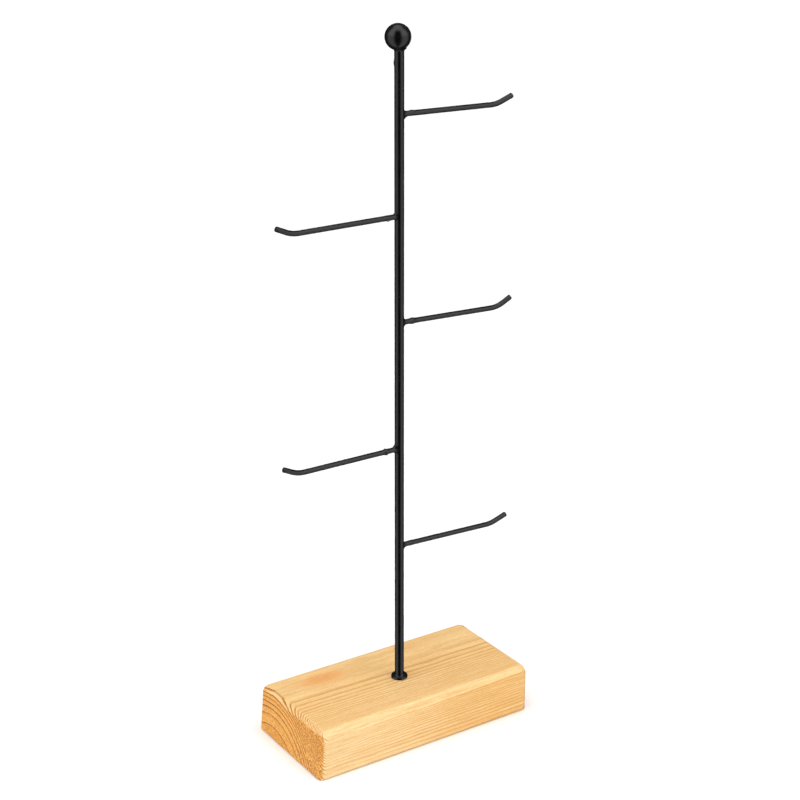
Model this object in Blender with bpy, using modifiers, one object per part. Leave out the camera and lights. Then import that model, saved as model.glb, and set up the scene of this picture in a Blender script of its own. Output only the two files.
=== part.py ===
"""Mug tree: a softwood block that carries a steel post with five welded wire hooks.

Metres, +Z up, +X along the block's length.  The origin is on the surface that the block
stands on, at the post along X and at the middle of the block along Y.  Nothing moves: the
hooks, the ball and the collar are welded to the post, and a nut clamps the post to the block.
"""
import math

import bmesh
import bpy
from mathutils import Matrix, Vector

MM = 0.001
GAP = 0.3 * MM              # left between pieces that touch
MERGE = 0.01 * MM           # merge distance of every modifier that merges

# Block
BLOCK_LENGTH = 170.5 * MM   # along the underside
BLOCK_WIDTH = 82.5 * MM
BLOCK_HEIGHT = 34 * MM
BLOCK_CENTRE_X = -1.9 * MM  # the post stands a little off the underside's middle
END_LEAN = 2.8 * MM         # the -X end is sawn out of square: its top stands this much inwards
TOP_EDGE_RADIUS = 6.5 * MM  # along both long top edges
END_EDGE_RADIUS = 4.5 * MM  # top and upright edges of the two end faces
FOOT_EDGE_RADIUS = 1.5 * MM  # around the underside
BEVEL_SEGMENTS = 4

# Post, ball and collar
POST_RADIUS = 3.1 * MM      # 6 mm bar under its coat
POST_Y = -3.7 * MM
POST_FOOT = 2.5 * MM        # height of the post's lower end, inside the counterbore
POST_CHAMFER = 0.5 * MM
BALL_RADIUS = 8.2 * MM
BALL_HEIGHT = 437.8 * MM    # ball's centre above the block's top
COLLAR_RADIUS = 5.7 * MM
COLLAR_THICKNESS = 1.6 * MM
COLLAR_ROUNDING = 0.5 * MM
COLLAR_ARC_STEPS = 3

# Hooks: name, side (+1 is +X), height of the root above the block's top, reach from the
# post's axis to the knee, where the arm's and the tip's lines cross, length from the knee to
# the end, droop of the arm and rise of the tip.  They are bent and welded by hand.
HOOKS = (
    ("hook_1_right", 1, 390.7 * MM, 73.9 * MM, 13.3 * MM, math.radians(1.0), math.radians(20.4)),
    ("hook_2_left", -1, 326.6 * MM, 77.5 * MM, 12.2 * MM, math.radians(0.4), math.radians(23.4)),
    ("hook_3_right", 1, 256.6 * MM, 77.9 * MM, 12.0 * MM, math.radians(1.9), math.radians(26.7)),
    ("hook_4_left", -1, 169.9 * MM, 77.0 * MM, 11.8 * MM, math.radians(0.2), math.radians(25.6)),
    ("hook_5_right", 1, 99.8 * MM, 75.8 * MM, 13.6 * MM, math.radians(2.0), math.radians(17.6)),
)
WIRE_RADIUS = 1.75 * MM
HOOK_BEND_RADIUS = 22 * MM
HOOK_BEND_STEPS = 8
WIRE_BEVEL_RESOLUTION = 4

# Welds
WELD_ROOT_HEIGHT = 4.4 * MM  # half-height of a hook's weld on the post
WELD_ROOT_WIDTH = 3.2 * MM   # half-width there, just inside the post's own width
WELD_START = 1.0 * MM        # how near the post's axis a weld's flanks reach
WELD_LENGTH = 3.4 * MM       # along the wire, from the post's surface
WELD_TOE = 0.25 * MM         # thickness left at the weld's thin end
WELD_ARC_STEPS = 6
BALL_WELD_LEG = 1.5 * MM     # out from the post
BALL_WELD_HEIGHT = 2.7 * MM  # down the post
COLLAR_WELD_LEG = 1.2 * MM

# Fixing under the block
HOLE_RADIUS = POST_RADIUS + GAP
COUNTERBORE_RADIUS = 11 * MM
COUNTERBORE_DEPTH = 12 * MM
WASHER_RADIUS = 9 * MM
WASHER_THICKNESS = 1.6 * MM
NUT_ACROSS_FLATS = 10 * MM
NUT_HEIGHT = 5 * MM
NUT_CHAMFER_ANGLE = math.radians(30)

ROUND_STEPS = 32            # sides of a turned piece
CUTTER_OVERRUN = 2 * MM     # how far a cutter runs past the faces that it cuts
SMOOTH_ANGLE = math.radians(35)

# Colours (linear), roughness and metallic value of each material
PINE = ("pine", (0.86, 0.56, 0.24), 0.6, 0.0)
BLACK_STEEL = ("black_powder_coat", (0.012, 0.012, 0.012), 0.4, 0.0)
WELD_STEEL = ("coated_weld", (0.014, 0.014, 0.014), 0.45, 0.0)
ZINC = ("zinc_plate", (0.60, 0.61, 0.63), 0.35, 1.0)


def clear_scene():
    for item in list(bpy.data.objects):
        bpy.data.objects.remove(item, do_unlink=True)


def new_collection(name):
    bpy.context.scene.collection.children.link(bpy.data.collections.new(name))


def new_material(name, colour, roughness, metallic):
    material = bpy.data.materials.new(name)
    material.use_nodes = True
    shader = material.node_tree.nodes["Principled BSDF"]
    shader.inputs["Base Color"].default_value = (*colour, 1)
    shader.inputs["Roughness"].default_value = roughness
    shader.inputs["Metallic"].default_value = metallic
    return material


def new_object(name, data, spec=None, location=(0, 0, 0)):
    """Link an object: one with a material is a part, one without is a cutter."""
    item = bpy.data.objects.new(name, data)
    item.location = location
    if spec is None:
        bpy.data.collections["cutters"].objects.link(item)
        item.hide_render = True
        item.display_type = "WIRE"
    else:
        data.materials.append(new_material(f"{name}_{spec[0]}", *spec[1:]))
        bpy.data.collections["mug_tree"].objects.link(item)
    return item


def smooth(mesh):
    mesh.shade_smooth()
    mesh.set_sharp_from_angle(angle=SMOOTH_ANGLE)


def mesh_from_bmesh(name, shape):
    mesh = bpy.data.meshes.new(name)
    shape.to_mesh(mesh)
    shape.free()
    return mesh


def cut(item, cutter, operation="DIFFERENCE"):
    boolean = item.modifiers.new(f"{operation.lower()}_{cutter.name}", "BOOLEAN")
    boolean.operation = operation
    boolean.solver = "EXACT"
    boolean.object = cutter


def cylinder(name, radius, low, high, y=0.0):
    """A cylinder cutter along Z."""
    shape = bmesh.new()
    bmesh.ops.create_cone(shape, cap_ends=True, segments=ROUND_STEPS, radius1=radius,
                          radius2=radius, depth=high - low)
    return new_object(name, mesh_from_bmesh(name, shape), location=(0, y, (low + high) / 2))


def turned(name, profile, spec=None, location=(0, 0, 0), closed=False):
    """Spin a profile of (radius, height) points, given down its outer side, about Z."""
    shape = bmesh.new()
    points = [shape.verts.new((radius, 0, height)) for radius, height in profile]
    for first, second in zip(points, points[1:]):
        shape.edges.new((first, second))
    if closed:
        shape.edges.new((points[-1], points[0]))
    mesh = mesh_from_bmesh(name, shape)
    item = new_object(name, mesh, spec, location)
    screw = item.modifiers.new("turn", "SCREW")
    screw.axis = "Z"
    screw.angle = math.tau
    screw.steps = screw.render_steps = ROUND_STEPS
    screw.use_smooth_shade = True
    screw.use_merge_vertices = True
    screw.merge_threshold = MERGE
    return item


def arc(centre, radius, start, end, steps):
    """Points of an arc around centre, angles in radians from +X towards +Y."""
    angles = [start + (end - start) * step / steps for step in range(steps + 1)]
    return [(centre[0] + radius * math.cos(angle), centre[1] + radius * math.sin(angle))
            for angle in angles]


def edge_weight(edge):
    """Share of the largest edge radius that an edge of the block is rounded by."""
    first, second = (vertex.co for vertex in edge.verts)
    if max(first.z, second.z) < 0:
        return FOOT_EDGE_RADIUS / TOP_EDGE_RADIUS
    along_length = abs(first.x - second.x) > BLOCK_LENGTH / 2
    if along_length and min(first.z, second.z) > 0:
        return 1.0
    return END_EDGE_RADIUS / TOP_EDGE_RADIUS


def make_block():
    shape = bmesh.new()
    bmesh.ops.create_cube(shape, size=1)
    bmesh.ops.scale(shape, vec=(BLOCK_LENGTH, BLOCK_WIDTH, BLOCK_HEIGHT), verts=shape.verts)
    sawn_top = [vertex for vertex in shape.verts if vertex.co.x < 0 < vertex.co.z]
    bmesh.ops.translate(shape, vec=(END_LEAN, 0, 0), verts=sawn_top)
    weights = shape.edges.layers.float.new("bevel_weight_edge")
    for edge in shape.edges:
        edge[weights] = edge_weight(edge)
    block = new_object("base_block", mesh_from_bmesh("base_block", shape), PINE,
                       (BLOCK_CENTRE_X, 0, BLOCK_HEIGHT / 2))
    rounding = block.modifiers.new("rounded_edges", "BEVEL")
    rounding.limit_method = "WEIGHT"
    rounding.width = TOP_EDGE_RADIUS
    rounding.segments = BEVEL_SEGMENTS
    hole = cylinder("cut_post_hole", HOLE_RADIUS, -CUTTER_OVERRUN,
                    BLOCK_HEIGHT + CUTTER_OVERRUN, y=POST_Y)
    counterbore = cylinder("cut_counterbore", COUNTERBORE_RADIUS, -CUTTER_OVERRUN,
                           COUNTERBORE_DEPTH, y=POST_Y)
    cut(block, hole)
    cut(block, counterbore)
    smooth(block.data)


def make_post():
    top = BLOCK_HEIGHT + BALL_HEIGHT - GAP
    profile = [(0, top), (POST_RADIUS - POST_CHAMFER, top), (POST_RADIUS, top - POST_CHAMFER),
               (POST_RADIUS, POST_FOOT + POST_CHAMFER), (POST_RADIUS - POST_CHAMFER, POST_FOOT),
               (0, POST_FOOT)]
    turned("post", profile, BLACK_STEEL, (0, POST_Y, 0))


def make_ball():
    centre = BLOCK_HEIGHT + BALL_HEIGHT
    shape = bmesh.new()
    bmesh.ops.create_uvsphere(shape, u_segments=ROUND_STEPS, v_segments=ROUND_STEPS // 2,
                              radius=BALL_RADIUS)
    ball = new_object("ball_finial", mesh_from_bmesh("ball_finial", shape), BLACK_STEEL,
                      (0, POST_Y, centre))
    socket = cylinder("cut_ball_socket", HOLE_RADIUS, centre - BALL_RADIUS - CUTTER_OVERRUN,
                      centre, y=POST_Y)
    cut(ball, socket)
    smooth(ball.data)


def make_collar():
    low = BLOCK_HEIGHT + GAP
    high = low + COLLAR_THICKNESS
    inner = COLLAR_RADIUS - COLLAR_ROUNDING
    profile = [(HOLE_RADIUS, high)]
    profile += arc((inner, high - COLLAR_ROUNDING), COLLAR_ROUNDING, math.pi / 2, 0,
                   COLLAR_ARC_STEPS)
    profile += arc((inner, low + COLLAR_ROUNDING), COLLAR_ROUNDING, 0, -math.pi / 2,
                   COLLAR_ARC_STEPS)
    profile += [(HOLE_RADIUS, low)]
    turned("foot_collar", profile, BLACK_STEEL, (0, POST_Y, 0), closed=True)


def hook_centre_line(side, height, reach, tip_length, droop, rise):
    """Points of a hook's centre line: a drooping arm, a bend and a straight rising tip."""
    arm = Vector((side * math.cos(droop), 0, -math.sin(droop)))
    tip = Vector((side * math.cos(rise), 0, math.sin(rise)))
    root = Vector((0, POST_Y, BLOCK_HEIGHT + height))
    knee = root + arm * reach
    turn = droop + rise
    setback = HOOK_BEND_RADIUS * math.tan(turn / 2)
    bend_start = knee - arm * setback
    upward = Vector((side * math.sin(droop), 0, math.cos(droop)))
    points = [root + arm * (POST_RADIUS + GAP)]
    for step in range(HOOK_BEND_STEPS + 1):
        angle = turn * step / HOOK_BEND_STEPS
        points.append(bend_start + arm * HOOK_BEND_RADIUS * math.sin(angle)
                      + upward * HOOK_BEND_RADIUS * (1 - math.cos(angle)))
    points.append(knee + tip * tip_length)
    return points


def make_hook(name, points):
    """A wire along its centre line."""
    wire = bpy.data.curves.new(name, "CURVE")
    wire.dimensions = "3D"
    wire.bevel_depth = WIRE_RADIUS
    wire.bevel_resolution = WIRE_BEVEL_RESOLUTION
    wire.use_fill_caps = True
    spline = wire.splines.new("POLY")
    spline.points.add(len(points) - 1)
    for control, place in zip(spline.points, points):
        control.co = (*place, 1)
    new_object(name, wire, BLACK_STEEL)


def weld_sections():
    """(distance from the post's axis, half-height, half-width) along a hook's weld."""
    toe = WIRE_RADIUS + GAP + WELD_TOE
    surface = POST_RADIUS + GAP
    sections = [(WELD_START, WELD_ROOT_HEIGHT, WELD_ROOT_WIDTH)]
    for step in range(WELD_ARC_STEPS + 1):
        angle = math.pi / 2 * step / WELD_ARC_STEPS
        sections.append((surface + WELD_LENGTH * (1 - math.cos(angle)),
                         WELD_ROOT_HEIGHT - (WELD_ROOT_HEIGHT - toe) * math.sin(angle),
                         WELD_ROOT_WIDTH - (WELD_ROOT_WIDTH - toe) * math.sin(angle)))
    return sections


def weld_loft(name):
    """A loft along +X through oval sections, tall at the post and round at the wire."""
    shape = bmesh.new()
    rings = []
    for distance, half_height, half_width in weld_sections():
        angles = [math.tau * step / ROUND_STEPS for step in range(ROUND_STEPS)]
        rings.append([shape.verts.new((distance, half_width * math.cos(angle),
                                       half_height * math.sin(angle))) for angle in angles])
    for inner, outer in zip(rings, rings[1:]):
        for step in range(ROUND_STEPS):
            after = (step + 1) % ROUND_STEPS
            shape.faces.new((inner[step], inner[after], outer[after], outer[step]))
    shape.faces.new(rings[0])
    shape.faces.new(rings[-1])
    bmesh.ops.recalc_face_normals(shape, faces=shape.faces)
    return mesh_from_bmesh(name, shape)


def make_hook_weld(number, side, height, droop):
    """The weld follows its hook's droop, and is cut back from the post and the wire."""
    name = f"hook_weld_{number}"
    place = Matrix.Translation((0, POST_Y, BLOCK_HEIGHT + height))
    lean = Matrix.Rotation(droop, 4, "Y")
    turn = Matrix.Rotation(0 if side > 0 else math.pi, 4, "Z")
    weld = new_object(name, weld_loft(name), WELD_STEEL)
    weld.matrix_world = place @ turn @ lean
    reach = POST_RADIUS + WELD_LENGTH + CUTTER_OVERRUN
    wire = cylinder(f"cut_wire_{number}", WIRE_RADIUS + GAP, 0, reach)
    along_wire = Matrix.Translation((reach / 2, 0, 0)) @ Matrix.Rotation(math.pi / 2, 4, "Y")
    wire.matrix_world = place @ turn @ lean @ along_wire
    post = cylinder(f"cut_post_{number}", POST_RADIUS + GAP,
                    BLOCK_HEIGHT + height - 2 * WELD_ROOT_HEIGHT,
                    BLOCK_HEIGHT + height + 2 * WELD_ROOT_HEIGHT, y=POST_Y)
    cut(weld, post)
    cut(weld, wire)
    smooth(weld.data)


def make_ball_weld():
    """A fillet ring whose top follows the ball a gap away, and whose side is hollow."""
    centre = BLOCK_HEIGHT + BALL_HEIGHT
    inner = POST_RADIUS + GAP
    outer = inner + BALL_WELD_LEG

    def under_ball(radius):
        return centre - math.sqrt((BALL_RADIUS + GAP) ** 2 - radius ** 2)

    rim = Vector((outer, under_ball(outer) - WELD_TOE))
    corner = Vector((inner + WELD_TOE, under_ball(inner) - WELD_TOE))
    foot = Vector((inner + WELD_TOE, under_ball(outer) - BALL_WELD_HEIGHT))
    profile = [(inner, under_ball(inner)), (outer, under_ball(outer))]
    for step in range(WELD_ARC_STEPS + 1):
        share = step / WELD_ARC_STEPS
        first, second = rim.lerp(corner, share), corner.lerp(foot, share)
        profile.append(tuple(first.lerp(second, share)))
    profile.append((inner, foot.y))
    turned("ball_weld", profile, WELD_STEEL, (0, POST_Y, 0), closed=True)


def make_collar_weld():
    low = BLOCK_HEIGHT + COLLAR_THICKNESS + 2 * GAP
    inner = POST_RADIUS + GAP
    corner = (inner + COLLAR_WELD_LEG, low + COLLAR_WELD_LEG)
    profile = [(inner, corner[1])]
    profile += arc(corner, COLLAR_WELD_LEG - WELD_TOE, math.pi, math.pi * 1.5, WELD_ARC_STEPS)
    profile += [(corner[0], low), (inner, low)]
    turned("collar_weld", profile, WELD_STEEL, (0, POST_Y, 0), closed=True)


def make_washer():
    high = COUNTERBORE_DEPTH - GAP
    low = high - WASHER_THICKNESS
    profile = [(HOLE_RADIUS, high), (WASHER_RADIUS, high), (WASHER_RADIUS, low),
               (HOLE_RADIUS, low)]
    turned("clamp_washer", profile, ZINC, (0, POST_Y, 0), closed=True)


def make_nut():
    """A hexagon prism with chamfered corners, bored for the post."""
    high = COUNTERBORE_DEPTH - WASHER_THICKNESS - 2 * GAP
    low = high - NUT_HEIGHT
    corner = NUT_ACROSS_FLATS / 2 / math.cos(math.pi / 6)
    flat = NUT_ACROSS_FLATS / 2
    drop = (corner - flat) * math.tan(NUT_CHAMFER_ANGLE)
    shape = bmesh.new()
    bmesh.ops.create_cone(shape, cap_ends=True, segments=6, radius1=corner, radius2=corner,
                          depth=NUT_HEIGHT)
    nut = new_object("hex_nut", mesh_from_bmesh("hex_nut", shape), ZINC,
                     (0, POST_Y, (low + high) / 2))
    rim = corner + CUTTER_OVERRUN
    slope = drop + CUTTER_OVERRUN * math.tan(NUT_CHAMFER_ANGLE)
    chamfer = turned("cut_nut_chamfer", [(0, high), (flat, high), (rim, high - slope),
                                         (rim, low + slope), (flat, low), (0, low)],
                     location=(0, POST_Y, 0))
    bore = cylinder("cut_nut_bore", HOLE_RADIUS, low - CUTTER_OVERRUN, high + CUTTER_OVERRUN,
                    y=POST_Y)
    cut(nut, chamfer, "INTERSECT")
    cut(nut, bore)


def main():
    clear_scene()
    new_collection("mug_tree")
    new_collection("cutters")
    make_block()
    make_post()
    make_ball()
    make_collar()
    for number, (name, side, height, reach, tip_length, droop, rise) in enumerate(HOOKS, 1):
        make_hook(name, hook_centre_line(side, height, reach, tip_length, droop, rise))
        make_hook_weld(number, side, height, droop)
    make_ball_weld()
    make_collar_weld()
    make_washer()
    make_nut()


main()
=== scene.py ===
"""Mug tree: the looks of a softwood block with a black coated steel post and wire hooks.

Every piece is built in the frame's own coordinates, in metres, at the places that the frame
gives, so each object sits at the origin and its Object coordinates are the frame's.
"""

import math

import bmesh
import bpy
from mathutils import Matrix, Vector, noise


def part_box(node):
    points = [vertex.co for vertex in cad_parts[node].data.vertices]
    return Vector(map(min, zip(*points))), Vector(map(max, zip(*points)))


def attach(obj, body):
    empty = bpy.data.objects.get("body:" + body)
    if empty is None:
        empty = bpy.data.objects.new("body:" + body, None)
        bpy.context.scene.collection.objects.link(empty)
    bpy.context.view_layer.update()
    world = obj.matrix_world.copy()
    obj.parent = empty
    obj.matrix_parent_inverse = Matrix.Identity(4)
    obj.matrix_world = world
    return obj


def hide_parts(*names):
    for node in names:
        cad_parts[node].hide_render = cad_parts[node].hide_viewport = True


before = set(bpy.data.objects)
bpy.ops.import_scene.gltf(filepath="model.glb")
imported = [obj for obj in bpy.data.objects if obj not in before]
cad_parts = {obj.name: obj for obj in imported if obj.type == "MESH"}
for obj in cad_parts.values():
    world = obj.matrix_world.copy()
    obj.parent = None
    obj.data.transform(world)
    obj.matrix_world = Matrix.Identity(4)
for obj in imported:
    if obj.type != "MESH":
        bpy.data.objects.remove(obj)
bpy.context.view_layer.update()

MM = 0.001

# Camera
CAMERA_AZIMUTH = math.radians(-33.436)   # 0 looks along +Y
CAMERA_ELEVATION = math.radians(20.17)
CAMERA_DISTANCE = 1.0943
CAMERA_TARGET = Vector((-0.01309, -0.02436, 0.24687))
CAMERA_LENS = 77.42                      # on a sensor 36 mm wide

# Light. The world is a tent: levels are shares of its white, angles are turned about the
# vertical away from the camera, or raised above the level.
OPENING_TURN = (math.radians(20), math.radians(48))   # where the dark opening ends
BACK_TURN = (math.radians(75), math.radians(115))     # where the tent falls to BACK_LEVEL
BACK_LEVEL = 0.04
TOP_RISE = (math.radians(50), math.radians(72))       # where the lamp overhead begins
TOP_LEVEL = 3.3
TOP_MIRRORED_LOSS = 0.75    # share of the lamp overhead that mirror images leave out
SIDE_MIRRORED_GAIN = 0.75   # what mirror images add to the tent's sides
SIDE_RISE = (0.05, 0.28)    # heights on the unit sphere between which that comes in
LAMP_SIZE = 1.6
LAMP_TARGET = Vector((0, 0, 0.1))
LAMPS = {                   # place and power in watts
    "left_softbox": (Vector((-1.9, -0.6, 0.5)), 13.0),
    "right_softbox": (Vector((0.7, -2.0, 0.5)), 13.5),
}
FLOOR_SIZE = 40
FLOOR_DROP = 0.0002         # how far the floor lies below the block

# Smoothness of the meshes
SMOOTH_ANGLE = math.radians(38)
TURNED_SIDES = 96           # of the pieces turned around the post
POST_SIDES = 64
WIRE_SIDES = 32
WELD_SIDES = 64
WELD_STEPS = 14

# Block
END_LEAN = 2.8 * MM         # the top of the -X end stands this much inwards of its foot
TOP_EDGE_RADIUS = 6.5 * MM
END_EDGE_RADIUS = 4.5 * MM
FOOT_EDGE_RADIUS = 1.5 * MM
EDGE_SEGMENTS = 20
COUNTERBORE_RADIUS = 11 * MM
COUNTERBORE_GAP = 0.3 * MM  # above the washer
HOLE_GAP = 0.2 * MM         # around the post, in the block and in the washer

# Post and ball
POST_CHAMFER = 0.5 * MM
THREAD_PITCH = 1.0 * MM
THREAD_DEPTH = 0.55 * MM
THREAD_TOP = 22 * MM
DROP_ANGLE = math.radians(146.5)   # of a drop of weld metal on the post, under the ball
DROP_BELOW_BALL = 15.5 * MM        # from the ball's centre
DROP_HEIGHT = 0.4 * MM
DROP_LENGTH = 1.6 * MM
DROP_TURN = 0.5                    # half its width, in radians
BALL_OFFSET = Vector((-0.67, 0.44, 0)) * MM   # the ball sits a little off the post's axis
BALL_SOCKET_GAP = 0.75 * MM

# Hooks, bent and welded by hand: knee's distance from the post's axis, length of the tip,
# droop of the arm and rise of the tip
HOOKS = {
    "hook_1_right": (73.9 * MM, 13.3 * MM, math.radians(1.0), math.radians(20.4)),
    "hook_2_left": (77.5 * MM, 12.2 * MM, math.radians(0.4), math.radians(23.4)),
    "hook_3_right": (77.9 * MM, 12.0 * MM, math.radians(1.9), math.radians(26.7)),
    "hook_4_left": (77.0 * MM, 11.8 * MM, math.radians(0.2), math.radians(25.6)),
    "hook_5_right": (75.8 * MM, 13.6 * MM, math.radians(2.0), math.radians(17.6)),
}
HOOK_BEND_RADIUS = 22 * MM
HOOK_BEND_STEPS = 16
HOOK_SINK = 1.0 * MM        # how far a wire starts inside the post
LUMPY_LENGTH = 18 * MM      # the wire is finely divided this far from the post's axis
END_ROUNDING = (0.35 * MM, 0.1 * MM, 0.0)   # off the wire's radius, from its end inwards

# how far each hook's weld reaches from the wire's middle up and down the post, and from
# the post along the top and the underside of the wire, in millimetres
WELDS = {
    "hook_1_right": (3.1, 4.4, 2.4, 3.6),
    "hook_2_left": (3.4, 2.6, 1.6, 1.4),
    "hook_3_right": (3.2, 3.6, 1.8, 2.2),
    "hook_4_left": (4.2, 3.6, 2.8, 2.2),
    "hook_5_right": (2.6, 3.8, 1.6, 2.4),
}
WELD_WIDTH = 2.5 * MM       # from the wire's middle, around the post
WELD_SQUARENESS = 3         # power of the curve that the weld's edge draws on the post
WELD_HOLLOW = 0.28          # length of the section's handles, as a share of its span
# a swelling in each wire next to its weld: distance from the post's axis, and how far it
# stands out of the wire's top and underside, in millimetres
SWELLINGS = {
    "hook_1_right": (9.4, 0.35, 0.05),
    "hook_2_left": (8.6, 0.05, 0.40),
    "hook_3_right": (9.9, 0.40, 0.40),
    "hook_4_left": (10.6, 0.35, 0.45),
    "hook_5_right": (9.0, 0.10, 0.10),
}
SWELLING_LENGTH = 1.5 * MM

# Growth rings: their number grows as the fourth power of the distance from the pith,
# so that they are wide near it and fine towards the bark
PITH_Y = 22 * MM
PITH_Z = -25 * MM
PITH_SLOPE_Z = 0.006        # how much the pith rises along the block
RING_POWER = 4.0
RING_RADIUS = 65 * MM
RINGS_INSIDE = 9.58         # rings inside that radius
FIRST_RING = 0.15
RING_WAVE = 0.8 * MM        # how far slow waves and ripples push the rings
LINE_WIDTH = 1.5 * MM       # of the dark line that ends a year's growth

# Noise in the wood: its frequency along the grain as a share of that across it, then cells
# per metre, detail and roughness
WOOD_NOISE = {
    "wave": (0.22, 42.0, 1.0, 0.5),
    "ripple": (0.22, 260.0, 2.0, 0.5),
    "fibre": (0.035, 1500.0, 3.0, 0.65),
    "streak": (0.06, 420.0, 3.0, 0.6),
    "blotch": (0.4, 30.0, 2.0, 0.5),
    "grit": (0.5, 800.0, 4.0, 0.75),
}

# Orange tongue on the block's top: its middle, half its length and width, and the heights
# between which it comes in
TONGUE_X, TONGUE_Y = -46 * MM, 23.5 * MM
TONGUE_LENGTH, TONGUE_WIDTH = 19 * MM, 8 * MM
TONGUE_RISE = (24 * MM, 32 * MM)

# Colours, 8-bit sRGB
PINE_PALE = (240, 202, 142)
PINE_WARM = (235, 192, 128)
PINE_TONGUE = (240, 172, 106)
PINE_STREAK = (226, 174, 106)
PINE_CREAM = (248, 216, 164)
PINE_LATE = (222, 166, 96)
PINE_LINE = (196, 132, 64)
PINE_FIBRE = (208, 154, 86)
SIDE_CREAM = (242, 211, 158)
SIDE_ORANGE = (232, 184, 112)
# painted highlight: the creamy band on the rounded near top edge stands for light caught there
EDGE_HIGHLIGHT = (246, 216, 164)
END_PALE = (238, 176, 92)
END_WARM = (226, 158, 74)
END_EARLY = (250, 198, 114)
END_LATE = (204, 134, 56)
END_LINE = (150, 78, 20)
END_PORE = (176, 104, 40)
END_FIBRE = (252, 202, 118)
COAT_DEEP = (6, 6, 6)
COAT_PALE = (10, 10, 10)
COAT_SPECK = (18, 18, 19)

# Colours, linear
ZINC_BLUE = (0.60, 0.62, 0.66, 1)
ZINC_YELLOW = (0.66, 0.63, 0.56, 1)
FLOOR_DARKER = (0.95, 0.95, 0.95, 1)
FLOOR_PALER = (0.96, 0.96, 0.96, 1)


# ---------------------------------------------------------------- node helpers

class Nodes:
    """A node tree, with one short call for each kind of node."""

    def __init__(self, owner, shader):
        owner.use_nodes = True
        self.tree = owner.node_tree
        self.shader = self.tree.nodes[shader]

    def add(self, kind, **settings):
        node = self.tree.nodes.new(kind)
        for key, value in settings.items():
            setattr(node, key, value)
        return node

    def put(self, value, socket):
        """Feed a socket from another socket, or set it to a plain value."""
        if isinstance(value, bpy.types.NodeSocket):
            self.tree.links.new(value, socket)
        else:
            socket.default_value = value

    def coordinates(self, kind):
        return self.add("ShaderNodeTexCoord").outputs[kind]

    def split(self, vector):
        node = self.add("ShaderNodeSeparateXYZ")
        self.put(vector, node.inputs[0])
        return node.outputs

    def scaled(self, vector, factors):
        node = self.add("ShaderNodeVectorMath", operation="MULTIPLY")
        self.put(vector, node.inputs[0])
        self.put(factors, node.inputs[1])
        return node.outputs["Vector"]

    def math(self, operation, *values):
        node = self.add("ShaderNodeMath", operation=operation)
        for value, socket in zip(values, node.inputs):
            self.put(value, socket)
        return node.outputs[0]

    def product(self, first, *others):
        for other in others:
            first = self.math("MULTIPLY", first, other)
        return first

    def rest(self, share):
        """What is left of 1."""
        return self.math("SUBTRACT", 1.0, share)

    def diagonal(self, first, second):
        """The length of the diagonal of a rectangle."""
        return self.math("SQRT", self.math("ADD", self.product(first, first),
                                           self.product(second, second)))

    def noise(self, vector, scale, detail=2.0, roughness=0.5):
        node = self.add("ShaderNodeTexNoise")
        self.put(vector, node.inputs["Vector"])
        self.put(scale, node.inputs["Scale"])
        self.put(detail, node.inputs["Detail"])
        self.put(roughness, node.inputs["Roughness"])
        return node.outputs["Fac"]

    def range(self, value, low, high, new_low=0.0, new_high=1.0):
        """Map low to new_low and high to new_high, with a smooth step between them."""
        node = self.add("ShaderNodeMapRange", interpolation_type="SMOOTHSTEP")
        for number, item in enumerate((value, low, high, new_low, new_high)):
            self.put(item, node.inputs[number])
        return node.outputs["Result"]

    def mix(self, factor, first, second):
        node = self.add("ShaderNodeMix", data_type="RGBA")
        self.put(factor, node.inputs["Factor"])
        self.put(first, node.inputs[6])
        self.put(second, node.inputs[7])
        return node.outputs[2]

    def bump(self, height, strength, distance):
        node = self.add("ShaderNodeBump")
        self.put(strength, node.inputs["Strength"])
        self.put(distance, node.inputs["Distance"])
        self.put(height, node.inputs["Height"])
        return node.outputs["Normal"]


def colour(red, green, blue):
    """A linear colour from 8-bit sRGB values."""
    parts = [value / 255 for value in (red, green, blue)]
    linear = [part / 12.92 if part <= 0.04045 else ((part + 0.055) / 1.055) ** 2.4
              for part in parts]
    return (*linear, 1)


# ---------------------------------------------------------------- materials

def new_material(name):
    material = bpy.data.materials.new(name)
    return material, Nodes(material, "Principled BSDF")


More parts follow.
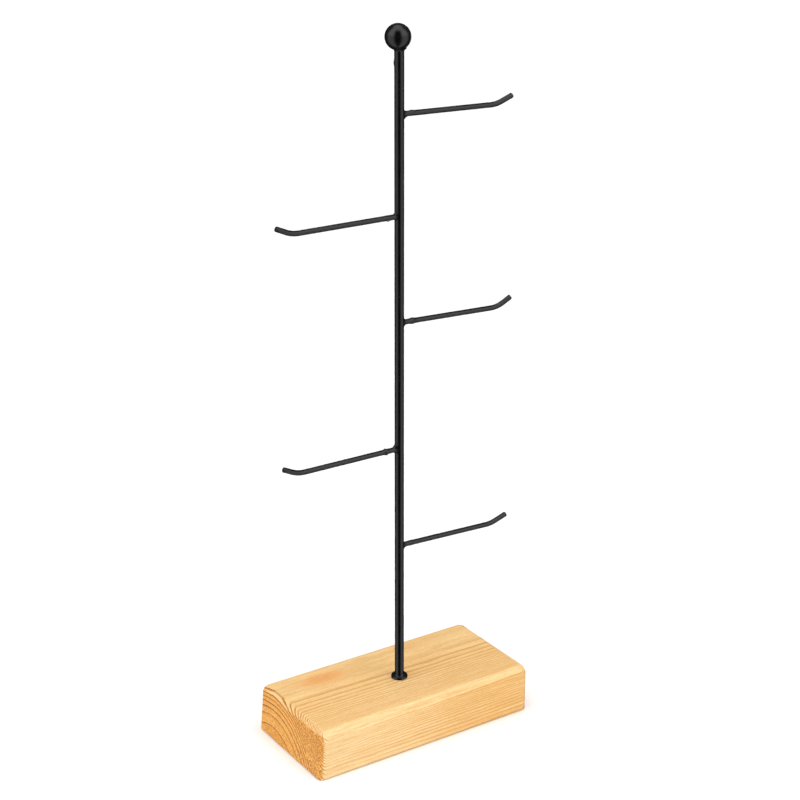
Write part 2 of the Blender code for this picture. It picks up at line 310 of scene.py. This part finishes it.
class Wood:
    """Planed pine. One solid pattern runs through the block, so that its faces agree."""

    def __init__(self):
        self.material, self.nodes = new_material("oiled_pine")
        n = self.nodes
        self.place = n.coordinates("Object")
        self.x, self.y, self.z = n.split(self.place)
        self.fibre, self.streak, self.blotch, self.grit = (
            self.noise(kind) for kind in ("fibre", "streak", "blotch", "grit"))
        facing_x, facing_y, _ = n.split(n.coordinates("Normal"))
        self.near = n.product(facing_y, -1.0)   # how much of the surface faces the near side
        end_share = n.math("ABSOLUTE", facing_x)
        side_share = n.math("ABSOLUTE", facing_y)
        self.end = n.range(n.math("ADD", end_share, n.product(side_share, 0.45)), 0.84, 0.98)
        self.edge = n.range(end_share, 0.10, 0.50)
        self.grow_rings()
        wood = n.mix(self.end, self.long_grain(), self.end_grain())
        n.put(wood, n.shader.inputs["Base Color"])
        rough = n.math("ADD", n.range(self.fibre, 0.3, 0.7, 0.50, 0.60), n.product(self.end, 0.12))
        n.put(rough, n.shader.inputs["Roughness"])
        relief = n.math("SUBTRACT", n.product(self.late, 0.6), n.product(self.fibre, 0.8))
        n.put(n.bump(relief, 0.35, 0.06 * MM), n.shader.inputs["Normal"])
        n.shader.inputs["Specular IOR Level"].default_value = 0.3

    def noise(self, kind):
        """One of the patterns that are long along the grain and round across it."""
        along, *settings = WOOD_NOISE[kind]
        n = self.nodes
        return n.noise(n.scaled(self.place, (along, 1.0, 1.0)), *settings)

    def grow_rings(self):
        """Set the shares of late wood, of the dark line after it, and of early wood."""
        n = self.nodes
        pith_z = n.math("ADD", n.product(self.x, PITH_SLOPE_Z), PITH_Z)
        radius = n.diagonal(n.math("SUBTRACT", self.y, PITH_Y),
                            n.math("SUBTRACT", self.z, pith_z))
        for kind in ("wave", "ripple"):
            push = n.product(n.math("SUBTRACT", self.noise(kind), 0.5), RING_WAVE)
            radius = n.math("ADD", radius, push)
        share = n.math("DIVIDE", radius, RING_RADIUS)
        rings = n.product(n.math("POWER", share, RING_POWER), RINGS_INSIDE)
        rings = n.math("ADD", rings, FIRST_RING)
        season = n.math("FRACT", rings)

        # late wood darkens slowly and ends sharply, and it varies from ring to ring
        rise = n.product(n.range(season, 0.45, 0.97), n.range(rings, 0.8, 1.3, 0.3, 1.0))
        per_metre = n.product(n.math("POWER", share, RING_POWER - 1),
                              RING_POWER * RINGS_INSIDE / RING_RADIUS)
        width = n.math("MINIMUM", n.product(per_metre, LINE_WIDTH), 0.5)
        line = n.range(season, n.rest(width), n.rest(n.product(width, 0.35)))
        fall = n.range(season, 0.975, 1.0, 1.0, 0.0)
        early = n.range(season, 0.0, 0.12, 1.0, 0.0)
        year_noise = n.add("ShaderNodeTexWhiteNoise", noise_dimensions="1D")
        n.put(n.math("FLOOR", rings), year_noise.inputs["W"])
        strength = n.range(year_noise.outputs["Value"], 0.0, 1.0, 0.7, 1.0)
        self.late = n.product(rise, fall, strength)
        self.line = n.product(line, fall, strength)
        self.early = n.product(early, strength)

    def tongue(self):
        """Share of the orange tongue on the top, with a ragged outline."""
        n = self.nodes
        x = n.math("DIVIDE", n.math("SUBTRACT", self.x, TONGUE_X), TONGUE_LENGTH)
        y = n.math("DIVIDE", n.math("SUBTRACT", self.y, TONGUE_Y), TONGUE_WIDTH)
        ragged = n.product(n.math("SUBTRACT", self.grit, 0.5), 1.2)
        outside = n.range(n.math("ADD", n.diagonal(x, y), ragged), 0.4, 1.3)
        return n.product(n.rest(outside), n.range(self.z, *TONGUE_RISE))

    def long_grain(self):
        """The near side warms towards the right end, and its rounded top edge carries a painted
        highlight, a creamy band.
        """
        n = self.nodes
        near = self.near
        pale = n.mix(n.range(self.blotch, 0.3, 0.7), colour(*PINE_PALE), colour(*PINE_WARM))
        side = n.mix(n.range(self.x, -70 * MM, 60 * MM), colour(*SIDE_CREAM),
                     colour(*SIDE_ORANGE))
        pale = n.mix(n.range(near, 0.4, 0.9, 0.0, 0.9), pale, side)
        # painted highlight: a creamy band on the rounded near top edge, where the surface faces
        # both up and towards the near side
        highlight_band = n.product(n.range(near, 0.02, 0.3), n.range(near, 0.97, 0.75))
        pale = n.mix(n.product(highlight_band, 0.55), pale, colour(*EDGE_HIGHLIGHT))
        pale = n.mix(self.tongue(), pale, colour(*PINE_TONGUE))
        pale = n.mix(n.range(self.streak, 0.45, 0.72, 0.0, 0.45), pale, colour(*PINE_STREAK))
        pale = n.mix(n.range(self.streak, 0.50, 0.28, 0.0, 0.5), pale, colour(*PINE_CREAM))

        # the rings show weakly on the far part of the top, under the painted highlight on the near
        # top edge, and on the left of the near side
        seen = n.math("MAXIMUM", n.range(self.y, 6 * MM, 14 * MM, 0.55, 0.15), self.edge)
        seen = n.product(seen, n.range(highlight_band, 0.0, 1.0, 1.0, 0.45),
                         n.range(n.product(self.x, near), -70 * MM, 10 * MM, 0.55, 1.0))
        grain = n.mix(n.product(self.late, seen), pale, colour(*PINE_LATE))
        grain = n.mix(n.product(self.line, seen), grain, colour(*PINE_LINE))
        grain = n.mix(n.product(self.line, self.edge, 0.7), grain, colour(*END_LINE))
        grain = n.mix(n.range(self.fibre, 0.50, 0.70, 0.0, 0.45), grain, colour(*PINE_FIBRE))
        grain = n.mix(n.range(self.grit, 0.52, 0.72, 0.0, 0.40), grain, colour(*PINE_FIBRE))
        return n.mix(n.range(self.grit, 0.48, 0.30, 0.0, 0.40), grain, colour(*PINE_CREAM))

    def end_grain(self):
        """End grain soaks up more oil, and is torn rough towards the near side."""
        n = self.nodes
        grain = n.mix(n.range(self.blotch, 0.3, 0.7), colour(*END_PALE), colour(*END_WARM))
        grain = n.mix(n.product(self.early, 0.7), grain, colour(*END_EARLY))
        grain = n.mix(n.product(self.late, 0.65), grain, colour(*END_LATE))
        grain = n.mix(self.line, grain, colour(*END_LINE))
        torn = n.range(self.y, 2 * MM, -22 * MM, 0.6, 1.0)
        dark_pore = n.product(n.range(self.grit, 0.47, 0.62), torn, 0.8)
        pale_pore = n.product(n.range(self.grit, 0.50, 0.34), torn, 0.8)
        grain = n.mix(dark_pore, grain, colour(*END_PORE))
        return n.mix(pale_pore, grain, colour(*END_FIBRE))


def coat_material(name, orange_peel):
    """Black powder coat: satin gloss with a fine orange peel."""
    material, n = new_material(name)
    place = n.coordinates("Object")
    cloud = n.noise(place, 140.0, 3.0)
    speck = n.noise(place, 2600.0, 2.0, 0.6)
    shade = n.mix(n.range(cloud, 0.3, 0.7), colour(*COAT_DEEP), colour(*COAT_PALE))
    shade = n.mix(n.range(speck, 0.6, 0.8, 0.0, 0.5), shade, colour(*COAT_SPECK))
    n.put(shade, n.shader.inputs["Base Color"])
    n.put(n.range(cloud, 0.3, 0.7, 0.20, 0.28), n.shader.inputs["Roughness"])
    peel = n.noise(place, 1500.0, 1.0)
    n.put(n.bump(peel, orange_peel, 0.04 * MM), n.shader.inputs["Normal"])
    return material


def zinc_material():
    """Bright zinc plate with a faint blue and yellow drift."""
    material, n = new_material("zinc_plate")
    place = n.coordinates("Object")
    drift = n.noise(place, 220.0, 2.0)
    grain = n.noise(place, 2400.0, 2.0, 0.6)
    n.put(n.mix(n.range(drift, 0.3, 0.7), ZINC_BLUE, ZINC_YELLOW), n.shader.inputs["Base Color"])
    n.put(n.range(grain, 0.3, 0.7, 0.26, 0.42), n.shader.inputs["Roughness"])
    n.put(n.bump(grain, 0.2, 0.02 * MM), n.shader.inputs["Normal"])
    n.shader.inputs["Metallic"].default_value = 1.0
    return material


# ---------------------------------------------------------------- mesh helpers

def link(name, data):
    item = bpy.data.objects.new(name, data)
    bpy.context.scene.collection.objects.link(item)
    return item


def piece(name, mesh, material, node):
    """Link a finished mesh, which rides on the one body and stands for a CAD node."""
    item = link(name, mesh)
    mesh.materials.append(material)
    mesh.shade_smooth()
    mesh.set_sharp_from_angle(angle=SMOOTH_ANGLE)
    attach(item, "root")
    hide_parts(node)
    return item


def steel(name, mesh, material, node):
    piece(name, mesh, material, node)


def skin(name, rings, close_ends=True):
    """A closed mesh through rings of points, each ring with as many points as the others.

    The rings run so that their points turn anticlockwise seen from the last ring. Without
    closed ends, the last ring joins on to the first.
    """
    shape = bmesh.new()
    rows = [[shape.verts.new(point) for point in ring] for ring in rings]
    count = len(rings[0])
    pairs = list(zip(rows, rows[1:]))
    if not close_ends:
        pairs.append((rows[-1], rows[0]))
    for low, high in pairs:
        for step in range(count):
            after = (step + 1) % count
            shape.faces.new((low[step], low[after], high[after], high[step]))
    if close_ends:
        shape.faces.new(list(reversed(rows[0])))
        shape.faces.new(rows[-1])
    mesh = bpy.data.meshes.new(name)
    shape.to_mesh(mesh)
    shape.free()
    return mesh


def fix_winding(mesh):
    """Turn every face of a closed mesh outwards."""
    shape = bmesh.new()
    shape.from_mesh(mesh)
    bmesh.ops.recalc_face_normals(shape, faces=shape.faces)
    shape.to_mesh(mesh)
    shape.free()


def around(centre, profile, sides, shift=None):
    """Rings about a vertical axis through centre, from (radius, height) pairs, lowest first.

    shift(angle, height) adds to a point's radius.
    """
    rings = []
    for radius, height in profile:
        ring = []
        for step in range(sides):
            angle = math.tau * step / sides
            reach = radius + (shift(angle, height) if shift else 0.0)
            ring.append((centre.x + reach * math.cos(angle),
                         centre.y + reach * math.sin(angle), height))
        rings.append(ring)
    return rings


def arc(centre, radius, start, end, steps):
    """(x, y) points of an arc, angles in degrees."""
    points = []
    for step in range(steps + 1):
        angle = math.radians(start + (end - start) * step / steps)
        points.append((centre[0] + radius * math.cos(angle),
                       centre[1] + radius * math.sin(angle)))
    return points


# ---------------------------------------------------------------- places that the CAD gives

block_low, block_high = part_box("base_block")
block_middle = (block_low + block_high) / 2
post_low, post_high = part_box("post")
post_axis = (post_low + post_high) / 2
post_radius = (post_high.x - post_low.x) / 2
washer_low, washer_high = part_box("clamp_washer")
ball_low, ball_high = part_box("ball_finial")
ball_radius = (ball_high.x - ball_low.x) / 2
ball_centre = Vector((post_axis.x, post_axis.y, ball_high.z - ball_radius))
drop_centre = ball_centre.z - DROP_BELOW_BALL


# ---------------------------------------------------------------- the block

def edge_share(edge):
    """Share of the largest edge radius that an edge of the block is rounded by."""
    first, second = (vertex.co for vertex in edge.verts)
    if max(first.z, second.z) < block_middle.z:
        return FOOT_EDGE_RADIUS / TOP_EDGE_RADIUS
    along = abs(first.x - second.x) > block_high.x
    if along and min(first.z, second.z) > block_middle.z:
        return 1.0
    return END_EDGE_RADIUS / TOP_EDGE_RADIUS


def bore(name, radius, top):
    """A hidden cutter around the post's axis, from below the block up to a height."""
    return link(name, skin(name, around(post_axis, [(radius, -MM), (radius, top)],
                                        TURNED_SIDES)))


def make_block(material):
    shape = bmesh.new()
    bmesh.ops.create_cube(shape, size=1)
    bmesh.ops.scale(shape, vec=block_high - block_low, verts=shape.verts)
    bmesh.ops.translate(shape, vec=block_middle, verts=shape.verts)
    sawn_top = [v for v in shape.verts if v.co.x < block_middle.x and v.co.z > block_middle.z]
    bmesh.ops.translate(shape, vec=(END_LEAN, 0, 0), verts=sawn_top)
    share = shape.edges.layers.float.new("bevel_weight_edge")
    for edge in shape.edges:
        edge[share] = edge_share(edge)
    mesh = bpy.data.meshes.new("block_raw")
    shape.to_mesh(mesh)
    shape.free()
    raw = link("block_raw", mesh)
    rounding = raw.modifiers.new("round", "BEVEL")
    rounding.limit_method = "WEIGHT"
    rounding.width = TOP_EDGE_RADIUS
    rounding.segments = EDGE_SEGMENTS
    cutters = [bore("hole", post_radius + HOLE_GAP, block_high.z + MM),
               bore("counterbore", COUNTERBORE_RADIUS, washer_high.z + COUNTERBORE_GAP)]
    for cutter in cutters:
        boolean = raw.modifiers.new(cutter.name, "BOOLEAN")
        boolean.object = cutter
        boolean.solver = "EXACT"
    graph = bpy.context.evaluated_depsgraph_get()
    finished = bpy.data.meshes.new_from_object(raw.evaluated_get(graph), depsgraph=graph)
    finished.name = "pine_block"
    for item in [raw, *cutters]:
        bpy.data.objects.remove(item)
    block = piece("pine_block", finished, material, "base_block")
    block.visible_glossy = False   # keeps the post's highlights clean down to the collar


# ---------------------------------------------------------------- post, ball and collar

def thread_depth(angle, height):
    """How far the M6 thread's surface lies inside the bar's, at a place on its lower end."""
    turn = (height / THREAD_PITCH - angle / math.tau) % 1.0
    flank = min(1.0, max(0.0, 2.6 * abs(turn - 0.5) - 0.12))
    fade_in = min(1.0, max(0.0, (height - post_low.z) / THREAD_PITCH))
    fade_out = min(1.0, max(0.0, (THREAD_TOP - height) / THREAD_PITCH))
    return -THREAD_DEPTH * flank * fade_in * fade_out


def post_surface(angle, height):
    """The thread at the post's lower end, and a drop of weld metal under the ball."""
    round_way = math.remainder(angle - DROP_ANGLE, math.tau) / DROP_TURN
    away = (height - drop_centre) / DROP_LENGTH
    return thread_depth(angle, height) + DROP_HEIGHT * math.exp(-away ** 2 - round_way ** 2)


def make_post(material):
    """The rings are close together on the thread and around the drop."""
    profile = [(post_radius - 2 * POST_CHAMFER, post_low.z),
               (post_radius - POST_CHAMFER, post_low.z + POST_CHAMFER)]
    height = post_low.z + 2 * POST_CHAMFER
    while height < THREAD_TOP:
        profile.append((post_radius, height))
        height += THREAD_PITCH / 8
    while height < ball_centre.z:
        profile.append((post_radius, height))
        height += 6 * MM if height < drop_centre - 10 * MM else 0.5 * MM
    profile.append((post_radius, ball_centre.z))
    rings = around(post_axis, profile, POST_SIDES, shift=post_surface)
    steel("steel_post", skin("steel_post", rings), material, "post")


def make_ball(material):
    """The ball is one turned shape: a socket for the post, and the sphere around it."""
    socket = post_radius + BALL_SOCKET_GAP
    start = math.degrees(math.asin(socket / ball_radius)) - 90
    profile = [(socket, ball_centre.z)]
    profile += arc((0, ball_centre.z), ball_radius, start, 89.0, 60)
    rings = around(ball_centre + BALL_OFFSET, profile, TURNED_SIDES)
    steel("finial_ball", skin("finial_ball", rings), material, "ball_finial")


def make_ball_weld(material):
    """A hollow fillet between the ball's underside and the post, uneven around its ring."""
    leg = 1.7 * MM
    contact = post_radius + leg
    under = ball_centre.z - math.sqrt(ball_radius ** 2 - contact ** 2)
    foot = under - 1.9 * MM
    inner = post_radius - 0.4 * MM
    cap = under + 0.4 * MM

    def uneven(angle, height):
        share = max(0.0, min(1.0, (height - foot) / (under - foot)))
        return 0.28 * MM * share * noise.noise(Vector((2.2 * math.cos(angle),
                                                       2.2 * math.sin(angle), 4.0)))

    profile = [(inner, foot)]
    for step in range(11):
        angle = math.pi / 2 * step / 10
        profile.append((contact - (leg + 0.03 * MM) * math.cos(angle),
                        foot + (under - foot) * (1 - math.cos(angle)) ** 0.8))
    profile += [(contact - 0.6 * MM, cap), (inner, cap)]
    rings = around(post_axis, profile, POST_SIDES, shift=uneven)
    steel("finial_weld", skin("finial_weld", rings, close_ends=False), material, "ball_weld")


def make_collar(material):
    """A thin collar with a rounded rim and a shallow dish around the post."""
    low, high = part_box("foot_collar")
    radius = (high.x - low.x) / 2
    bottom = block_high.z
    top = high.z
    rim = 0.62 * MM
    inner = post_radius - 0.05 * MM
    dish = top - 0.36 * MM
    profile = [(inner, bottom)]
    profile += arc((radius - rim, bottom + rim), rim, -90, 0, 6)
    profile += arc((radius - rim, top - rim), rim, 0, 110, 8)
    profile += [(radius - 1.7 * MM, top - 0.32 * MM), (post_radius + 0.8 * MM, dish),
                (inner, dish)]
    rings = around(post_axis, profile, TURNED_SIDES)
    steel("post_collar", skin("post_collar", rings, close_ends=False), material, "foot_collar")


def make_collar_weld(material):
    """A hollow fillet in the collar's dish."""
    leg = 1.1 * MM
    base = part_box("collar_weld")[0].z - 0.75 * MM
    inner = post_radius - 0.3 * MM
    profile = [(inner, base), (post_radius + leg, base)]
    for step in range(9):
        angle = math.pi / 2 * step / 8
        profile.append((post_radius + leg - leg * math.sin(angle),
                        base + 0.15 * MM + leg * 1.3 * (1 - math.cos(angle))))
    profile.append((inner, profile[-1][1]))
    rings = around(post_axis, profile, POST_SIDES)
    steel("collar_fillet", skin("collar_fillet", rings, close_ends=False), material,
          "collar_weld")


# ---------------------------------------------------------------- hooks and their welds

class Hook:
    """One hook's sizes, and the directions of its arm and tip."""

    def __init__(self, number, node):
        knee, self.tip_length, droop, rise = HOOKS[node]
        low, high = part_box(node)
        self.number = number
        self.node = node
        self.side = 1 if high.x > -low.x else -1
        self.wire = (high.y - low.y) / 2
        self.turn = droop + rise
        self.arm = Vector((self.side * math.cos(droop), 0, -math.sin(droop)))
        self.lift = Vector((self.side * math.sin(droop), 0, math.cos(droop)))
        self.tip = Vector((self.side * math.cos(rise), 0, math.sin(rise)))
        self.knee = knee / math.cos(droop)
        top = self.wire * math.cos(rise) + self.tip_length * math.sin(rise)
        self.root = Vector((post_axis.x, post_axis.y,
                            high.z - top + self.knee * math.sin(droop)))

    def line(self):
        """(point, direction) along the centre line, from inside the post to the tip."""
        bend_start = self.knee - HOOK_BEND_RADIUS * math.tan(self.turn / 2)
        places = []
        distance = post_radius - HOOK_SINK
        while distance < bend_start - 2 * MM:
            places.append((self.root + self.arm * distance, self.arm))
            distance += 0.4 * MM if distance < LUMPY_LENGTH else 4 * MM
        for step in range(HOOK_BEND_STEPS + 1):
            angle = self.turn * step / HOOK_BEND_STEPS
            point = (self.root + self.lift * HOOK_BEND_RADIUS * (1 - math.cos(angle))
                     + self.arm * (bend_start + HOOK_BEND_RADIUS * math.sin(angle)))
            places.append((point, self.arm * math.cos(angle) + self.lift * math.sin(angle)))
        end = self.root + self.arm * self.knee + self.tip * self.tip_length
        for back in (5 * MM, 2 * MM, 0.35 * MM, 0.18 * MM, 0.0):
            places.append((end - self.tip * back, self.tip))
        return places


def swelling(hook, distance, angle):
    """How far a hook's wire swells at a distance from the post, a quarter turn being its top."""
    place, top, under = (value * MM for value in SWELLINGS[hook.node])
    away = (distance - place) / SWELLING_LENGTH
    upward = (1 + math.sin(angle)) / 2
    lumps = 1 + noise.noise(Vector((distance / MM, 2 * math.cos(angle), hook.number)))
    return lumps * (top * upward + under * (1 - upward)) * math.exp(-away * away)


def make_hook(hook, material):
    rings = []
    places = hook.line()
    across = Vector((0, hook.side, 0))
    for index, (point, direction) in enumerate(places):
        from_end = min(len(places) - 1 - index, len(END_ROUNDING) - 1)
        radius = hook.wire - END_ROUNDING[from_end]
        up = direction.cross(across).normalized()
        distance = abs(point.x - post_axis.x)
        ring = []
        for step in range(WIRE_SIDES):
            angle = math.tau * step / WIRE_SIDES
            out = across * math.cos(angle) + up * math.sin(angle)
            bulge = swelling(hook, distance, angle) if distance < LUMPY_LENGTH else 0.0
            ring.append(point + out * (radius + bulge))
        rings.append(ring)
    name = f"wire_{hook.node}"
    mesh = skin(name, rings)
    fix_winding(mesh)
    steel(name, mesh, material, hook.node)


def weld_curve(angle, high, low, toe_up, toe_down, wire):
    """One section of a weld, in the half-plane at angle around the wire: (along, out) pairs.

    It leaves the post's surface along that surface and ends along the wire.
    """
    reach = high if math.sin(angle) > 0 else low
    across, upward = math.cos(angle), math.sin(angle)
    start_out = (abs(across / WELD_WIDTH) ** WELD_SQUARENESS
                 + abs(upward / reach) ** WELD_SQUARENESS) ** (-1 / WELD_SQUARENESS)
    sunk_radius = post_radius - 0.04 * MM
    start = Vector((math.sqrt(sunk_radius ** 2 - (start_out * across) ** 2), start_out))
    slope = Vector((start_out * across ** 2 / start.x, -1)).normalized()
    toe = toe_up if upward > 0 else toe_down
    side_toe = WELD_WIDTH - wire
    toe_length = side_toe + (toe - side_toe) * abs(upward)
    end = Vector((post_radius + toe_length, wire - 0.03 * MM))
    handle = WELD_HOLLOW * (end - start).length
    first = start + slope * handle
    second = end - Vector((handle, 0))
    points = []
    for step in range(WELD_STEPS + 1):
        t = step / WELD_STEPS
        points.append(start * (1 - t) ** 3 + first * 3 * t * (1 - t) ** 2
                      + second * 3 * t * t * (1 - t) + end * t ** 3)
    return points


def make_hook_weld(hook, material):
    """A lumpy fillet around the wire's root, no higher and no lower than the CAD's."""
    node = f"hook_weld_{hook.number}"
    low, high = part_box(node)
    up, down, toe_up, toe_down = (value * MM for value in WELDS[hook.node])
    up, down = min(up, high.z - hook.root.z), min(down, hook.root.z - low.z)
    columns = []
    for step in range(WELD_SIDES):
        angle = math.tau * step / WELD_SIDES
        curve = weld_curve(angle, up, down, toe_up, toe_down, hook.wire)
        column = [(0.8 * MM, 0.5 * MM)]
        for index, (along, out) in enumerate(curve):
            share = math.sin(math.pi * index / WELD_STEPS)
            seed = Vector((3 * math.cos(angle), 3 * math.sin(angle),
                           index * 0.35 + hook.number * 9))
            out += 0.22 * MM * share * noise.noise(seed)
            along += 0.18 * MM * share * noise.noise(seed + Vector((0, 7, 0)))
            column.append((along, out))
        column.append((column[-1][0], 0.6 * MM))
        columns.append([hook.root + hook.arm * along + hook.lift * out * math.sin(angle)
                        + Vector((0, out * math.cos(angle), 0)) for along, out in column])
    name = f"weld_{hook.number}"
    mesh = skin(name, list(zip(*columns)))
    fix_winding(mesh)
    steel(name, mesh, material, node)


# ---------------------------------------------------------------- washer and nut

def make_washer(material):
    low, high = washer_low, washer_high
    radius = (high.x - low.x) / 2
    hole = post_radius + HOLE_GAP
    ease = 0.25 * MM
    profile = [(hole, low.z + ease), (hole + ease, low.z), (radius - ease, low.z),
               (radius, low.z + ease), (radius, high.z - ease), (radius - ease, high.z),
               (hole + ease, high.z), (hole, high.z - ease)]
    rings = around(post_axis, profile, TURNED_SIDES)
    piece("zinc_washer", skin("zinc_washer", rings, close_ends=False), material,
          "clamp_washer")


def make_nut(material):
    """A hexagon nut: its corners are chamfered by a cone, and its bore is countersunk."""
    low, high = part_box("hex_nut")
    flat = (high.x - low.x) / 2 - 0.02 * MM
    hole = post_radius - 0.02 * MM
    sink = 0.45 * MM
    rise = math.tan(math.radians(30))
    columns = []
    for step in range(TURNED_SIDES):
        angle = math.tau * step / TURNED_SIDES
        outer = flat / math.cos((angle + math.pi / 6) % (math.pi / 3) - math.pi / 6)
        drop = (outer - flat) * rise
        profile = ((hole, low.z + sink), (hole + sink, low.z), (flat, low.z),
                   (outer, low.z + drop), (outer, high.z - drop), (flat, high.z),
                   (hole + sink, high.z), (hole, high.z - sink))
        columns.append([(post_axis.x + radius * math.cos(angle),
                         post_axis.y + radius * math.sin(angle), height)
                        for radius, height in profile])
    piece("zinc_nut", skin("zinc_nut", list(zip(*columns)), close_ends=False), material,
          "hex_nut")


# ---------------------------------------------------------------- stage

def make_floor():
    material, n = new_material("pale_floor")
    mottle = n.range(n.noise(n.coordinates("Object"), 3.0, 2.0), 0.3, 0.7)
    n.put(n.mix(mottle, FLOOR_DARKER, FLOOR_PALER), n.shader.inputs["Base Color"])
    n.shader.inputs["Roughness"].default_value = 0.9
    n.shader.inputs["Specular IOR Level"].default_value = 0.0
    bpy.ops.mesh.primitive_plane_add(size=FLOOR_SIZE, location=(0, 0, -FLOOR_DROP))
    floor = bpy.context.object
    floor.name = "floor"
    floor.data.materials.append(material)
    floor.visible_glossy = False


def make_world():
    """A white light tent with a dark slit where the camera looks in, and a dimmer back."""
    world = bpy.data.worlds.new("light_tent")
    bpy.context.scene.world = world
    n = Nodes(world, "Background")
    x, y, z = n.split(n.coordinates("Generated"))
    ahead = n.math("ADD", n.product(x, math.sin(CAMERA_AZIMUTH)),
                   n.product(y, -math.cos(CAMERA_AZIMUTH)))
    level = n.math("MAXIMUM", n.diagonal(x, y), 0.001)
    turn = n.math("ARCCOSINE", n.math("DIVIDE", ahead, level))
    opening = n.range(turn, *OPENING_TURN)
    back = n.range(turn, *BACK_TURN, 1.0, BACK_LEVEL)
    overhead = n.range(z, *(math.sin(angle) for angle in TOP_RISE), 0.0, TOP_LEVEL)

    # mirror images show less of the lamp overhead and more of the sides, and the camera
    # itself sees plain white
    rays = n.add("ShaderNodeLightPath").outputs
    mirrored = rays["Is Glossy Ray"]
    overhead = n.product(overhead, n.rest(n.product(mirrored, TOP_MIRRORED_LOSS)))
    bright = n.math("MAXIMUM", n.product(opening, back), overhead)
    panel = n.product(n.range(z, *SIDE_RISE, 0.0, SIDE_MIRRORED_GAIN), mirrored)
    bright = n.product(bright, n.math("ADD", 1.0, panel))
    seen = rays["Is Camera Ray"]
    white = n.math("ADD", n.product(bright, n.rest(seen)), seen)
    n.put(white, n.shader.inputs["Strength"])
    n.shader.inputs["Color"].default_value = (1, 1, 1, 1)


def make_lamps():
    """Soft lamps on both sides, which mirror images leave out."""
    for name, (place, power) in LAMPS.items():
        data = bpy.data.lights.new(name, "AREA")
        data.shape = "DISK"
        data.size = LAMP_SIZE
        data.energy = power
        lamp = link(name, data)
        lamp.location = place
        lamp.rotation_euler = (LAMP_TARGET - place).to_track_quat("-Z", "Y").to_euler()
        lamp.visible_glossy = False


def make_camera():
    back = Vector((math.sin(CAMERA_AZIMUTH) * math.cos(CAMERA_ELEVATION),
                   -math.cos(CAMERA_AZIMUTH) * math.cos(CAMERA_ELEVATION),
                   math.sin(CAMERA_ELEVATION)))
    data = bpy.data.cameras.new("camera")
    data.sensor_width = 36
    data.lens = CAMERA_LENS
    data.clip_start = 0.01
    data.clip_end = 100
    camera = link("camera", data)
    camera.location = CAMERA_TARGET + back * CAMERA_DISTANCE
    camera.rotation_euler = (-back).to_track_quat("-Z", "Y").to_euler()
    bpy.context.scene.camera = camera


# ---------------------------------------------------------------- put it together

make_camera()
make_world()
make_lamps()
make_floor()
bpy.context.scene.view_settings.view_transform = "Standard"

pine = Wood().material
coat = coat_material("black_powder_coat", 0.15)
weld_coat = coat_material("black_powder_coat_weld", 0.9)
zinc = zinc_material()

make_block(pine)
make_post(coat)
make_ball(coat)
make_ball_weld(weld_coat)
make_collar(coat)
make_collar_weld(weld_coat)
for number, node in enumerate(HOOKS, start=1):
    hook = Hook(number, node)
    make_hook(hook, coat)
    make_hook_weld(hook, weld_coat)
make_washer(zinc)
make_nut(zinc)
